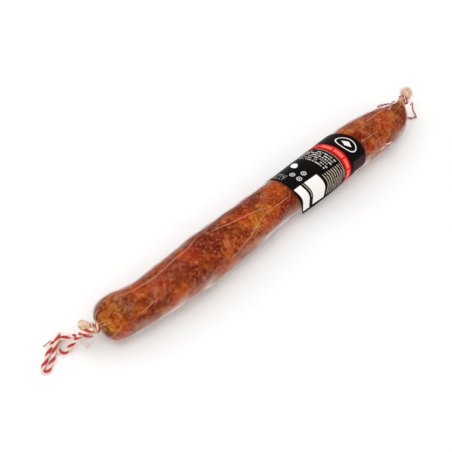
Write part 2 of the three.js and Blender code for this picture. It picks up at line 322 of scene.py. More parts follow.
def make_twine_tree():
    """Plies that wind round a path, each a lobed strand, with short cotton fuzz standing off it."""
    tree = bpy.data.node_groups.new("laid_twine", "GeometryNodeTree")
    sockets = (
        ("Path", "NodeSocketGeometry"), ("Plies", "NodeSocketInt"), ("Ply Diameter", "NodeSocketFloat"),
        ("Lay Radius", "NodeSocketFloat"), ("Pitch", "NodeSocketFloat"), ("Start Turn", "NodeSocketFloat"),
        ("Looseness", "NodeSocketFloat"), ("Fray", "NodeSocketFloat"), ("Fuzz Density", "NodeSocketFloat"),
        ("Fuzz Length", "NodeSocketFloat"), ("Seed", "NodeSocketInt"), ("First Ply", "NodeSocketMaterial"),
        ("Other Plies", "NodeSocketMaterial"),
    )
    for name, kind in sockets:
        tree.interface.new_socket(name=name, in_out="INPUT", socket_type=kind)
    tree.interface.new_socket(name="Mesh", in_out="OUTPUT", socket_type="NodeSocketGeometry")
    given = add_node(tree, "NodeGroupInput").outputs

    def calculate(operation, *values):
        return add_node(tree, "ShaderNodeMath", dict(enumerate(values)), operation=operation).outputs[0]

    def calculate_vector(operation, *values):
        inputs = dict(enumerate(values))
        if operation == "SCALE":
            inputs = {"Vector": values[0], "Scale": values[1]}
        return add_node(tree, "ShaderNodeVectorMath", inputs, operation=operation).outputs[0]

    line = add_node(tree, "GeometryNodeMeshToCurve", {"Mesh": given["Path"]})
    finest = 0.45 * MM
    even = add_node(
        tree, "GeometryNodeResampleCurve", {"Curve": line.outputs[0], "Length": finest}, mode="LENGTH")
    copies = add_node(
        tree, "GeometryNodeDuplicateElements", {"Geometry": even.outputs[0], "Amount": given["Plies"]},
        domain="SPLINE")
    held = add_node(tree, "GeometryNodeCaptureAttribute", {"Geometry": copies.outputs[0]}, domain="CURVE")
    held.capture_items.new("INT", "Ply")
    tree.links.new(copies.outputs["Duplicate Index"], held.inputs["Ply"])
    ply = held.outputs["Ply"]

    # Each ply goes round the path once a pitch. Towards a frayed end the plies spread apart.
    spline = add_node(tree, "GeometryNodeSplineParameter").outputs
    own_turn = calculate("DIVIDE", ply, given["Plies"])
    travelled = calculate("DIVIDE", spline["Length"], given["Pitch"])
    turns = calculate("ADD", calculate("ADD", own_turn, travelled), given["Start Turn"])
    angle = calculate("MULTIPLY", turns, 2 * math.pi)
    normal = add_node(tree, "GeometryNodeInputNormal").outputs[0]
    tangent = add_node(tree, "GeometryNodeInputTangent").outputs[0]
    sideways = calculate_vector("CROSS_PRODUCT", tangent, normal)
    spread = calculate("MULTIPLY", calculate("POWER", spline["Factor"], 2.0), given["Fray"])
    radius = calculate("ADD", given["Lay Radius"], spread)
    round_path = calculate_vector(
        "ADD",
        calculate_vector("SCALE", normal, calculate("COSINE", angle)),
        calculate_vector("SCALE", sideways, calculate("SINE", angle)))
    wander = add_node(
        tree, "ShaderNodeTexNoise",
        {"Vector": add_node(tree, "GeometryNodeInputPosition").outputs[0],
         "W": calculate("ADD", calculate("MULTIPLY", ply, 7.3), given["Seed"]),
         "Scale": 1 / (7 * MM), "Detail": 1.0},
        noise_dimensions="4D")
    drift = calculate_vector(
        "SCALE", calculate_vector("SUBTRACT", wander.outputs["Color"], (0.5, 0.5, 0.5)), given["Looseness"])
    offset = calculate_vector("ADD", calculate_vector("SCALE", round_path, radius), drift)
    laid = add_node(tree, "GeometryNodeSetPosition", {"Geometry": held.outputs["Geometry"], "Offset": offset})

    # A ply is itself several strands twisted together, which its lobed section and its own twist show.
    lobes = 5
    lobe_depth = 0.09
    circle = add_node(tree, "GeometryNodeCurvePrimitiveCircle", {"Resolution": 4 * lobes, "Radius": 1.0})
    turn_of_lobes = calculate(
        "MULTIPLY", add_node(tree, "GeometryNodeSplineParameter").outputs["Factor"], 2 * math.pi * lobes)
    ripple = calculate("MULTIPLY", calculate("COSINE", turn_of_lobes), lobe_depth)
    bulge = calculate("ADD", ripple, 1 - lobe_depth)
    section = add_node(
        tree, "GeometryNodeSetPosition",
        {"Geometry": circle.outputs[0],
         "Position": calculate_vector(
             "SCALE", add_node(tree, "GeometryNodeInputPosition").outputs[0], bulge)})
    strand_twist = -2.5
    twisted = add_node(
        tree, "GeometryNodeSetCurveTilt",
        {"Curve": laid.outputs[0],
         "Tilt": calculate("MULTIPLY", angle, strand_twist)})
    solid = add_node(
        tree, "GeometryNodeCurveToMesh",
        {"Curve": twisted.outputs[0], "Profile Curve": section.outputs[0],
         "Scale": calculate("MULTIPLY", given["Ply Diameter"], 0.5), "Fill Caps": True})
    is_other = calculate("GREATER_THAN", calculate("MODULO", ply, 2.0), 0.5)
    first = add_node(
        tree, "GeometryNodeSetMaterial", {"Geometry": solid.outputs[0], "Material": given["First Ply"]})
    coloured = add_node(
        tree, "GeometryNodeSetMaterial",
        {"Geometry": first.outputs[0], "Selection": is_other, "Material": given["Other Plies"]})

    # Fuzz: short curved hairs, a little wider than real ones so that they show.
    hair = add_node(
        tree, "GeometryNodeCurveQuadraticBezier",
        {"Resolution": 4, "Start": (0, 0, 0), "Middle": (0.1, 0, 0.6), "End": (0.75, 0, 0.8)})
    hair_section = add_node(tree, "GeometryNodeCurvePrimitiveCircle", {"Resolution": 3, "Radius": 0.03})
    hair_solid = add_node(
        tree, "GeometryNodeCurveToMesh",
        {"Curve": hair.outputs[0], "Profile Curve": hair_section.outputs[0], "Fill Caps": True})
    roots = add_node(
        tree, "GeometryNodeDistributePointsOnFaces",
        {"Mesh": coloured.outputs[0], "Density": given["Fuzz Density"], "Seed": given["Seed"]})
    turn = add_node(
        tree, "FunctionNodeRandomValue", {"Max": 2 * math.pi, "Seed": given["Seed"]}, data_type="FLOAT")
    set_random_range(turn, 0.0, 2 * math.pi)
    spin = add_node(
        tree, "FunctionNodeAxisAngleToRotation", {"Axis": (0, 0, 1), "Angle": turn.outputs[1]})
    facing = add_node(
        tree, "FunctionNodeRotateRotation",
        {"Rotation": roots.outputs["Rotation"], "Rotate By": spin.outputs[0]}, rotation_space="LOCAL")
    size = add_node(tree, "FunctionNodeRandomValue", {"Seed": given["Seed"]}, data_type="FLOAT")
    set_random_range(size, 0.4, 1.2)
    hairs = add_node(
        tree, "GeometryNodeInstanceOnPoints",
        {"Points": roots.outputs["Points"], "Instance": hair_solid.outputs[0], "Rotation": facing.outputs[0],
         "Scale": calculate("MULTIPLY", size.outputs[1], given["Fuzz Length"])})
    real_hairs = add_node(tree, "GeometryNodeRealizeInstances", {"Geometry": hairs.outputs[0]})
    white_hairs = add_node(
        tree, "GeometryNodeSetMaterial",
        {"Geometry": real_hairs.outputs[0], "Material": given["Other Plies"]})
    joined = add_node(tree, "GeometryNodeJoinGeometry")
    tree.links.new(white_hairs.outputs[0], joined.inputs[0])
    tree.links.new(coloured.outputs[0], joined.inputs[0])
    smooth = add_node(tree, "GeometryNodeSetShadeSmooth", {"Geometry": joined.outputs[0]})
    add_node(tree, "NodeGroupOutput", {"Mesh": smooth.outputs[0]})
    return tree


def set_random_range(node, low, high):
    """Set the two limits of a Random Value node in its number mode."""
    limits = [socket for socket in node.inputs if socket.type == "VALUE" and socket.name in ("Min", "Max")]
    for socket, value in zip(limits, (low, high)):
        socket.default_value = value


def run_tree(name, tree, paths, inputs):
    """The plain mesh that a node tree makes from one or more open paths."""
    points = []
    edges = []
    for path in paths:
        start = len(points)
        points += [tuple(point) for point in path]
        edges += [(k, k + 1) for k in range(start, len(points) - 1)]
    base_mesh = bpy.data.meshes.new(name + "_path")
    base_mesh.from_pydata(points, edges, [])
    base = bpy.data.objects.new(name + "_path", base_mesh)
    bpy.context.scene.collection.objects.link(base)
    modifier = base.modifiers.new(tree.name, "NODES")
    modifier.node_group = tree
    identifiers = {
        item.name: item.identifier for item in tree.interface.items_tree if item.in_out == "INPUT"}
    for key, value in inputs.items():
        modifier[identifiers[key]] = value
    base.update_tag()
    evaluated = base.evaluated_get(bpy.context.evaluated_depsgraph_get())
    mesh = bpy.data.meshes.new_from_object(evaluated)
    base.modifiers.remove(modifier)
    bpy.data.objects.remove(base)
    if not mesh.polygons:
        raise RuntimeError(name + " came out empty")
    return mesh


def twine_mesh(
        name, paths, diameter, plies=2, pitch=3.0, looseness=0.0, fray=0.0, fuzz=True, start=0.0, seed=1):
    """Twine of a diameter along its paths. The pitch is in diameters."""
    materials = (cotton("red_cotton_yarn"), cotton("cream_cotton_yarn"))
    # Soft plies press into each other, so two of them fill more than half the width each.
    ply_share, lay_share = {1: (1.0, 0.0), 2: (0.76, 0.22)}[plies]
    tree = bpy.data.node_groups.get("laid_twine") or make_twine_tree()
    mesh = run_tree(name, tree, paths, {
        "Plies": plies,
        "Ply Diameter": diameter * ply_share,
        "Lay Radius": diameter * lay_share,
        "Pitch": diameter * pitch,
        "Start Turn": start,
        "Looseness": looseness,
        "Fray": fray,
        "Fuzz Density": 60000.0 if fuzz else 0.0,
        "Fuzz Length": 0.35 * diameter,
        "Seed": seed,
        "First Ply": materials[0],
        "Other Plies": materials[1],
    })
    # Where twine lies on the table, it flattens against it.
    for vertex in mesh.vertices:
        vertex.co.z = max(vertex.co.z, FLOOR_GAP)
    return mesh, materials


# ---- Materials

def cotton(name):
    """Soft two-ply cotton yarn: matt, a little fuzzy, and darker between its strands."""
    found = bpy.data.materials.get(name)
    if found:
        return found
    looks = bpy.context.scene.sausage_looks
    colour = looks.red_yarn if name.startswith("red") else looks.cream_yarn
    material, tree, shader = new_material(name)
    place = add_node(tree, "ShaderNodeTexCoord").outputs["Object"]
    streaks = add_node(tree, "ShaderNodeTexNoise", {"Vector": place, "Scale": 1 / (1.4 * MM), "Detail": 3.0})
    shade = add_node(
        tree, "ShaderNodeMix",
        {"Factor": streaks.outputs["Fac"], "A": [0.78 * c for c in colour] + [1], "B": [*colour, 1]},
        data_type="RGBA")
    tree.links.new(shade.outputs[2], shader.inputs["Base Color"])
    fibres = add_node(tree, "ShaderNodeTexNoise", {"Vector": place, "Scale": 1 / (0.35 * MM), "Detail": 2.0})
    bump = add_node(
        tree, "ShaderNodeBump", {"Height": fibres.outputs["Fac"], "Strength": 0.5, "Distance": 0.1 * MM})
    tree.links.new(bump.outputs[0], shader.inputs["Normal"])
    shader.inputs["Roughness"].default_value = 0.95
    shader.inputs["Specular IOR Level"].default_value = 0.2
    shader.inputs["Sheen Weight"].default_value = 0.25
    shader.inputs["Sheen Roughness"].default_value = 0.5
    return material


def cured_meat():
    """Coarse paprika-red cured meat behind a natural gut casing: lean and fat blotches with soft edges."""
    material, tree, shader = new_material("marbled_cured_pork_in_natural_casing")
    place = add_node(tree, "ShaderNodeTexCoord").outputs["Object"]

    def noise_at(size_mm, detail=3.0, roughness=0.55, seed=0.0, vector=None):
        return add_node(
            tree, "ShaderNodeTexNoise",
            {"Vector": vector or place, "W": seed, "Scale": 1 / (size_mm * MM), "Detail": detail,
             "Roughness": roughness},
            noise_dimensions="4D").outputs

    def blend(factor, a, b, mode="MIX"):
        return add_node(
            tree, "ShaderNodeMix", {"Factor": factor, "A": a, "B": b},
            data_type="RGBA", blend_type=mode).outputs[2]

    def between(value, low, high, top=1.0):
        return add_node(
            tree, "ShaderNodeMapRange",
            {"Value": value, "From Min": low, "From Max": high, "To Max": top},
            interpolation_type="SMOOTHSTEP").outputs[0]

    def attribute(name):
        return add_node(tree, "ShaderNodeAttribute", attribute_name=name).outputs["Fac"]

    # The pattern is pulled about by a few millimetres, so that the pieces of meat have torn edges.
    pull = add_node(
        tree, "ShaderNodeVectorMath",
        {0: noise_at(6, 3.0, seed=3.1)["Color"], 1: (0.5, 0.5, 0.5)}, operation="SUBTRACT").outputs[0]
    pulled = add_node(
        tree, "ShaderNodeVectorMath", {0: pull, 1: (7 * MM, 7 * MM, 7 * MM), 2: place},
        operation="MULTIPLY_ADD").outputs[0]

    # Coarse mince: zones of dark lean, grey lean, red lean and orange fat, each finely mottled.
    ground = add_node(tree, "ShaderNodeValToRGB", {"Fac": noise_at(8, 5.0, 0.7, 1.7, pulled)["Fac"]})
    set_stops(ground, [
        (0.36, 0x581003), (0.44, 0x762006), (0.50, 0x8E320F),
        (0.56, 0xA24719), (0.62, 0xB46636), (0.70, 0xC88A60)])
    colour = ground.outputs["Color"]
    orange = between(noise_at(26, 3.0, 0.6, 15.5, pulled)["Fac"], 0.52, 0.64, 0.6)
    colour = blend(orange, colour, linear(0xB64E0C))
    red = between(noise_at(24, 3.0, 0.55, 9.4, pulled)["Fac"], 0.50, 0.60, 0.75)
    colour = blend(red, colour, linear(0xA62805))
    yellow = add_node(
        tree, "ShaderNodeMath",
        {0: attribute("fat"), 1: between(noise_at(7, 3.0, 0.6, 20.0, pulled)["Fac"], 0.40, 0.56)},
        operation="MULTIPLY").outputs[0]
    colour = blend(yellow, colour, linear(0xC48A22))
    lean = between(noise_at(30, 3.0, 0.6, 5.2, pulled)["Fac"], 0.45, 0.58, 0.75)
    colour = blend(lean, colour, linear(0x601408))
    grey = add_node(
        tree, "ShaderNodeMath",
        {0: between(noise_at(20, 3.0, 0.6, 24.6)["Fac"], 0.50, 0.62),
         1: between(noise_at(5, 4.0, 0.65, 27.0, pulled)["Fac"], 0.42, 0.58, 0.6)},
        operation="MULTIPLY").outputs[0]
    colour = blend(grey, colour, linear(0x8E5A4C))
    speckle = noise_at(2.6, 4.0, 0.6, 30.0, pulled)["Fac"]
    colour = blend(between(speckle, 0.52, 0.66, 0.6), colour, linear(0x500E04))
    colour = blend(between(speckle, 0.48, 0.36, 0.45), colour, linear(0xCA7E4C))
    # Painted sheen: patchy pale colour low on the front side, standing in for the film's milky sheen seen
    # edge on.
    colour = blend(attribute("pale"), colour, linear(0xCB8E6C))
    gut = add_node(tree, "ShaderNodeValToRGB", {"Fac": noise_at(4, 3.0, 0.6, 40.0)["Fac"]})
    set_stops(gut, [(0.36, 0xCF9A60), (0.45, 0xE0BC90), (0.55, 0xE8D2B8), (0.66, 0xEEE2D4)])
    colour = blend(attribute("gut"), colour, gut.outputs["Color"])
    # Painted shade: the folds of the gathered casing and of both tails are darkened by the crease mark.
    colour = blend(attribute("crease"), colour, linear(0x4A140A))
    tree.links.new(colour, shader.inputs["Base Color"])

    relief = add_node(
        tree, "ShaderNodeBump",
        {"Height": noise_at(4, 4.0, 0.6, 50.0)["Fac"], "Strength": 0.7, "Distance": 1.2 * MM})
    tree.links.new(relief.outputs[0], shader.inputs["Normal"])
    shader.inputs["Roughness"].default_value = 0.55
    shader.inputs["IOR"].default_value = 1.45
    shader.inputs["Specular IOR Level"].default_value = 0.02
    shader.inputs["Subsurface Weight"].default_value = 0.06
    shader.inputs["Subsurface Radius"].default_value = (1.0, 0.35, 0.15)
    shader.inputs["Subsurface Scale"].default_value = 1.5 * MM
    return material


def shrink_film(name, haze_low, haze_high, tint=0xEEDDD6):
    """Clear polyolefin shrink film: it glints, and looks milky edge on, where it has folded on itself and
    where a sheen is painted on it.
    """
    material, tree, shader = new_material(name)
    place = add_node(tree, "ShaderNodeTexCoord").outputs["Object"]
    wrinkles = add_node(
        tree, "ShaderNodeTexNoise",
        {"Vector": place, "Scale": 1 / (6 * MM), "Detail": 3.0, "Roughness": 0.55})
    bump = add_node(
        tree, "ShaderNodeBump", {"Height": wrinkles.outputs["Fac"], "Strength": 0.8, "Distance": 0.8 * MM})
    facing = add_node(tree, "ShaderNodeLayerWeight", {"Blend": 0.5, "Normal": bump.outputs[0]})
    edge_on = add_node(tree, "ShaderNodeMath", {0: facing.outputs["Facing"], 1: 5.0}, operation="POWER")
    haze = add_node(
        tree, "ShaderNodeMapRange",
        {"Value": edge_on.outputs[0], "To Min": haze_low, "To Max": haze_high})
    milk_and_sheen = add_node(tree, "ShaderNodeAttribute", attribute_name="milk_and_sheen")
    # This attribute is partly folded film and partly a painted sheen.
    all_haze = add_node(
        tree, "ShaderNodeMath", {0: haze.outputs[0], 1: milk_and_sheen.outputs["Fac"]}, operation="ADD", use_clamp=True)
    # How much one face of the film mirrors, from straight on to edge on.
    mirror = add_node(
        tree, "ShaderNodeMapRange", {"Value": edge_on.outputs[0], "To Min": 0.003, "To Max": 0.1})
    clear = add_node(tree, "ShaderNodeBsdfTransparent", {"Color": (1, 0.995, 0.99, 1)})
    gloss = add_node(
        tree, "ShaderNodeBsdfGlossy",
        {"Color": (1, 1, 1, 1), "Roughness": 0.07, "Normal": bump.outputs[0]})
    glassy = add_node(
        tree, "ShaderNodeMixShader", {0: mirror.outputs[0], 1: clear.outputs[0], 2: gloss.outputs[0]})
    shader.inputs["Base Color"].default_value = linear(tint)
    shader.inputs["Roughness"].default_value = 0.35
    milky = add_node(
        tree, "ShaderNodeMixShader", {0: all_haze.outputs[0], 1: glassy.outputs[0], 2: shader.outputs[0]})
    tree.links.new(milky.outputs[0], tree.nodes["Material Output"].inputs["Surface"])
    return material


def label_print():
    """Printed polypropylene band: black ink with a soft sheen, red and white marks, drawn in millimetres."""
    material, tree, shader = new_material("printed_polypropylene_label")
    looks = bpy.context.scene.sausage_looks
    corner = add_node(tree, "ShaderNodeUVMap", uv_map="print")
    split = add_node(tree, "ShaderNodeSeparateXYZ", {0: corner.outputs[0]})
    along, around = split.outputs[0], split.outputs[1]

    def calculate(operation, *values):
        return add_node(tree, "ShaderNodeMath", dict(enumerate(values)), operation=operation).outputs[0]

    def box(left, right, low, high, x=along, y=around):
        """1 inside a box of the label, 0 outside."""
        across = calculate("LESS_THAN", calculate("ABSOLUTE", calculate("SUBTRACT", x, (left + right) / 2)),
                           (right - left) / 2)
        upright = calculate("LESS_THAN", calculate("ABSOLUTE", calculate("SUBTRACT", y, (low + high) / 2)),
                            (high - low) / 2)
        return calculate("MULTIPLY", across, upright)

    def disc(x, y, radius, squash=1.0):
        """How far inside a disc a point is: 1 inside, 0 outside."""
        dx = calculate("SUBTRACT", along, x)
        dy = calculate("MULTIPLY", calculate("SUBTRACT", around, y), squash)
        squares = calculate("ADD", calculate("MULTIPLY", dx, dx), calculate("MULTIPLY", dy, dy))
        reach = calculate("SQRT", squares)
        return calculate("LESS_THAN", reach, radius)

    def paint(colour, mask, over):
        return add_node(
            tree, "ShaderNodeMix", {"Factor": mask, "A": over, "B": linear(colour)},
            data_type="RGBA").outputs[2]

    def fine_print(line_height, mark_length, fill, x=along, y=around):
        """Rows of short marks that stand for small print; they say nothing."""
        row = calculate("DIVIDE", x, line_height)
        mark = calculate("DIVIDE", y, mark_length)
        number = add_node(
            tree, "ShaderNodeCombineXYZ", {0: calculate("FLOOR", row), 1: calculate("FLOOR", mark)})
        chance = add_node(
            tree, "ShaderNodeTexWhiteNoise", {"Vector": number.outputs[0]},
            noise_dimensions="2D").outputs["Value"]
        inked = calculate("LESS_THAN", chance, fill)
        return calculate("MULTIPLY", inked, calculate("LESS_THAN", calculate("FRACT", row), 0.5))

    wave = calculate("MULTIPLY", calculate("SINE", calculate("MULTIPLY", around, 2 * math.pi / 34)), 1.2)
    bent = calculate("ADD", along, wave)

    colour = paint(0x3A2226, box(78, 98, 24, 60), linear(0x070203))
    # Small print, in three blocks.
    colour = paint(0xB9B2AC, calculate("MULTIPLY", box(43, 62, -30, 12), fine_print(3.1, 1.0, 0.62)), colour)
    colour = paint(0x948C88, calculate("MULTIPLY", box(3, 13, -34, -6), fine_print(2.6, 0.9, 0.6)), colour)
    colour = paint(0x8A8078, box(63.0, 64.2, -14, 34), colour)
    # The wavy lines, between the white panels and beside them.
    lines = calculate("LESS_THAN", calculate("FRACT", calculate("DIVIDE", bent, 2.9)), 0.4)
    broken = add_node(
        tree, "ShaderNodeTexNoise",
        {"Vector": corner.outputs[0], "Scale": 0.45, "Detail": 2.0}).outputs["Fac"]
    lines = calculate("MULTIPLY", lines, calculate("GREATER_THAN", broken, 0.4))
    colour = paint(0xAFA293, calculate("MULTIPLY", lines, box(37, 61.5, 15, 41, x=bent)), colour)
    colour = paint(0xAFA293, calculate("MULTIPLY", lines, box(13, 16, 11, 30, x=bent)), colour)
    # Two blank white panels.
    panel_wave = calculate("ADD", along, calculate("MULTIPLY", wave, 0.8))
    colour = paint(0xF3EEEA, box(17, 34, 11, 42, x=panel_wave), colour)
    colour = paint(0xF3EEEA, box(2.6, 12, 11, 43, x=panel_wave), colour)
    # Three rings and a plain leaf.
    for x, y in ((16, -4), (16, 4.5), (24.5, 2.5)):
        ring = calculate("SUBTRACT", disc(x, y, 2.7), disc(x, y, 1.9))
        colour = paint(0xD9D4D0, calculate("MAXIMUM", ring, disc(x, y, 0.9)), colour)
    leaf = calculate("MULTIPLY", disc(27, -15, 6.6), disc(32, -11.5, 6.6))
    colour = paint(0xF0ECE8, leaf, colour)
    # The red stripe with a row of pale bars.
    colour = paint(0xE3100E, box(65.5, 73.5, -60, 60), colour)
    bars = calculate("LESS_THAN", calculate("FRACT", calculate("DIVIDE", around, 1.9)), 0.5)
    gaps = calculate("GREATER_THAN", calculate("FRACT", calculate("DIVIDE", around, 13.3)), 0.14)
    in_stripe = calculate("MULTIPLY", box(68, 71.2, -13, 40), calculate("MULTIPLY", bars, gaps))
    colour = paint(0xEFA08C, in_stripe, colour)
    # A plain emblem: an oval line round a diamond.
    oval = calculate("SUBTRACT", disc(85.5, 4, 7.2, 0.62), disc(85.5, 4, 6.2, 0.6))
    colour = paint(0xE9E3DE, oval, colour)
    dx = calculate("ABSOLUTE", calculate("SUBTRACT", along, 85.5))
    dy = calculate("ABSOLUTE", calculate("SUBTRACT", around, 4))
    diamond = calculate("LESS_THAN", calculate("ADD", calculate("MULTIPLY", dx, 1.8), dy), 6.0)
    colour = paint(0xE9E3DE, diamond, colour)
    tree.links.new(colour, shader.inputs["Base Color"])

    place = add_node(tree, "ShaderNodeTexCoord").outputs["Object"]
    uneven = add_node(tree, "ShaderNodeTexNoise", {"Vector": place, "Scale": 1 / (14 * MM), "Detail": 2.0})
    bump = add_node(
        tree, "ShaderNodeBump", {"Height": uneven.outputs["Fac"], "Strength": 0.3, "Distance": 0.4 * MM})
    tree.links.new(bump.outputs[0], shader.inputs["Normal"])
    shader.inputs["Roughness"].default_value = looks.label_roughness
    shader.inputs["Specular IOR Level"].default_value = 0.06
    return material


# ---- Sizes and colours

class SausageSizes(bpy.types.PropertyGroup):
    """Sizes of the sausage's pieces."""

    surface_step: bpy.props.FloatProperty(
        name="Surface step", description="How finely the meat's surface is divided",
        default=1.5 * MM, unit="LENGTH")
    lump_height: bpy.props.FloatProperty(
        name="Lump height", description="How far the coarse mince pushes the casing in and out",
        default=0.9 * MM, unit="LENGTH")
    film_thickness: bpy.props.FloatProperty(
        name="Film thickness", description="Thickness of the shrink film", default=0.12 * MM, unit="LENGTH")
    film_margin: bpy.props.FloatProperty(
        name="Film margin", description="How far the film stands off low on the sides",
        default=1.0 * MM, unit="LENGTH")
    crease_width: bpy.props.FloatProperty(
        name="Crease width", description="Width of a crease in the film", default=0.75 * MM, unit="LENGTH")
    twine_diameter: bpy.props.FloatProperty(
        name="Twine", description="Diameter of the striped twine", default=4.2 * MM, unit="LENGTH")
    tight_twine_diameter: bpy.props.FloatProperty(
        name="Tight twine", description="The same twine pulled tight", default=2.8 * MM, unit="LENGTH")
    far_twine_diameter: bpy.props.FloatProperty(
        name="Far twine", description="Diameter of the far end's thinner twine",
        default=2.0 * MM, unit="LENGTH")
    label_length: bpy.props.FloatProperty(
        name="Label length", description="Along the sausage", default=97 * MM, unit="LENGTH")


class SausageLooks(bpy.types.PropertyGroup):
    """Colours and finishes."""

    red_yarn: bpy.props.FloatVectorProperty(
        name="Red yarn", description="Colour of the red ply", subtype="COLOR",
        default=linear(0xCF3336)[:3])
    cream_yarn: bpy.props.FloatVectorProperty(
        name="Cream yarn", description="Colour of the cream ply", subtype="COLOR",
        default=linear(0xF3E0CC)[:3])
    label_roughness: bpy.props.FloatProperty(
        name="Label roughness", description="0 is glossy, 1 is matt", default=0.42, min=0, max=1)


# ---- Operators

class SAUSAGE_OT_stage(bpy.types.Operator):
    """Make the pale floor, the soft lights and the camera"""

    bl_idname = "sausage.stage"
    bl_label = "Stage"

    def execute(self, context):
        scene = context.scene
        half = 3.0
        corners = [(-half, -half, 0), (half, -half, 0), (half, half, 0), (-half, half, 0)]
        mesh = bpy.data.meshes.new("floor")
        mesh.from_pydata(corners, [], [(0, 1, 2, 3)])
        material, _, shader = new_material("matt_white_table")
        shader.inputs["Base Color"].default_value = linear(0xF3F4F4)
        shader.inputs["Roughness"].default_value = 0.8
        shader.inputs["Specular IOR Level"].default_value = 0.1
        mesh.materials.append(material)
        floor = bpy.data.objects.new("floor", mesh)
        scene.collection.objects.link(floor)

        world = bpy.data.worlds.new("studio")
        world.use_nodes = True
        background = world.node_tree.nodes["Background"]
        background.inputs["Color"].default_value = (1.0, 0.995, 0.985, 1)
        background.inputs["Strength"].default_value = 0.96
        scene.world = world
        middle = Vector((0, 0, 0.02))
        lamps = (
            # name, place, size, power
            ("overhead_softbox", (-0.3, 0.9, 1.5), 1.5, 6.0),
            ("left_sparkle_lamp", (-0.62, 0.12, 1.5), 0.05, 1.6),
            ("right_sparkle_lamp", (-0.15, -0.25, 1.7), 0.05, 1.6),
        )
        for name, place, size, power in lamps:
            lamp = bpy.data.lights.new(name, "AREA")
            lamp.shape = "SQUARE"
            lamp.size = size
            lamp.energy = power
            holder = bpy.data.objects.new(name, lamp)
            holder.location = place
            holder.rotation_euler = (middle - Vector(place)).to_track_quat("-Z", "Y").to_euler()
            scene.collection.objects.link(holder)
        scene.view_settings.view_transform = "Standard"

        azimuth = math.radians(-40.22)
        elevation = math.radians(60)
        distance = 1.04
        target = Vector((-0.0336, 0.0244, 0))
        direction = Vector((
            math.sin(azimuth) * math.cos(elevation),
            -math.cos(azimuth) * math.cos(elevation),
            math.sin(elevation)))
        lens = bpy.data.cameras.new("camera")
        lens.lens = 75
        lens.sensor_width = 36
        camera = bpy.data.objects.new("camera", lens)
        camera.location = target + direction * distance
        camera.rotation_euler = (-direction).to_track_quat("-Z", "Y").to_euler()
        scene.collection.objects.link(camera)
        scene.camera = camera
        return {"FINISHED"}


def tail_rings(neck_end, neck, direction, rows, count):
    """Rings of a gathered casing tail. Its rows give along, aside, up, turn, half width and half height."""
    table = np.array(rows, dtype=float)
    line = curve_through([row[:3] for row in rows], 0.4)
    travelled = np.concatenate(
        [[0], np.cumsum([math.dist(a[:3], b[:3]) for a, b in zip(rows, rows[1:])])])
    wanted = np.linspace(0, travelled[-1], count + 1)
    share = wanted / travelled[-1]
    route_share = np.linspace(0, 1, len(line))
    rings = []
    for place, where in zip(share, wanted):
        along, aside, up = (np.interp(place, route_share, [p[axis] for p in line]) for axis in range(3))
        turn, wide, high = (np.interp(where, travelled, table[:, column]) for column in (3, 4, 5))
        middle = Vector((
            neck_end + direction * along * MM, neck.middle.y + aside * MM, neck.middle.z + up * MM))
        rings.append(Ring(middle, wide * MM, high * MM, math.radians(turn)))
    return rings


# Along, aside, up, turn, half width and half height, in millimetres and degrees, from the neck's outer end.
NEAR_TAIL = [
    (0, 0, 0, 0, 4.6, 4.6), (1, 1.8, 0.4, -20, 5.4, 4.9), (2.4, 4.4, 1, -34, 6.2, 4.8),
    (4.4, 7.6, 1.8, -42, 6.5, 4.2), (6.4, 11, 2.4, -44, 5.6, 3.2), (8.2, 13.8, 2.8, -44, 3.2, 1.6),
]
FAR_TAIL = [
    (0, 0, 0, 0, 4.2, 4.2), (0.8, 0.8, 0.8, 10, 5, 5), (2.4, 2, 2, 16, 6.3, 6.3), (4.9, 3.2, 3.2, 20, 7, 7),
    (7.2, 4.2, 4.2, 23, 6.5, 6.5), (9, 4.9, 4.9, 25, 4.8, 4.8), (10, 5.4, 5.4, 26, 2.4, 2.4),
]


# The film's gathered mouths beyond the ties, in the same six columns.
NEAR_MOUTH = [
    (0, 0, 0, 0, 5.2, 5.2), (4, -0.5, -6, 0, 5.4, 4), (9, 0.5, -13.5, 0, 6, 2.4), (14.5, 2, -18.5, 0, 7, 1.4)]
FAR_MOUTH = [
    (0, 0, 0, 0, 5, 5), (1.5, 0.5, 0.8, 10, 7.6, 7.6), (4.5, 2.6, 2.8, 20, 9, 8.6),
    (8.6, 4.4, 4.4, 25, 8.4, 8)]

# Patches of yellow fat that show through the casing: X, degrees from the top, reach in millimetres, weight.
FAT_PATCHES = [
    (BODY.point(x * MM, degrees, 0) / MM, reach, weight)
    for x, degrees, reach, weight in (
        (-213, 32, 8, 1.3), (-211, -30, 5, 0.8), (-201, -28, 6, 0.7), (-194, -4, 9, 0.9), (-183, 20, 8, 0.9),
        (-8, 16, 10, 0.6), (-22, 26, 8, 0.6), (189, 12, 6, 0.6), (203, -4, 5, 0.7), (170, 62, 5, 0.6))]


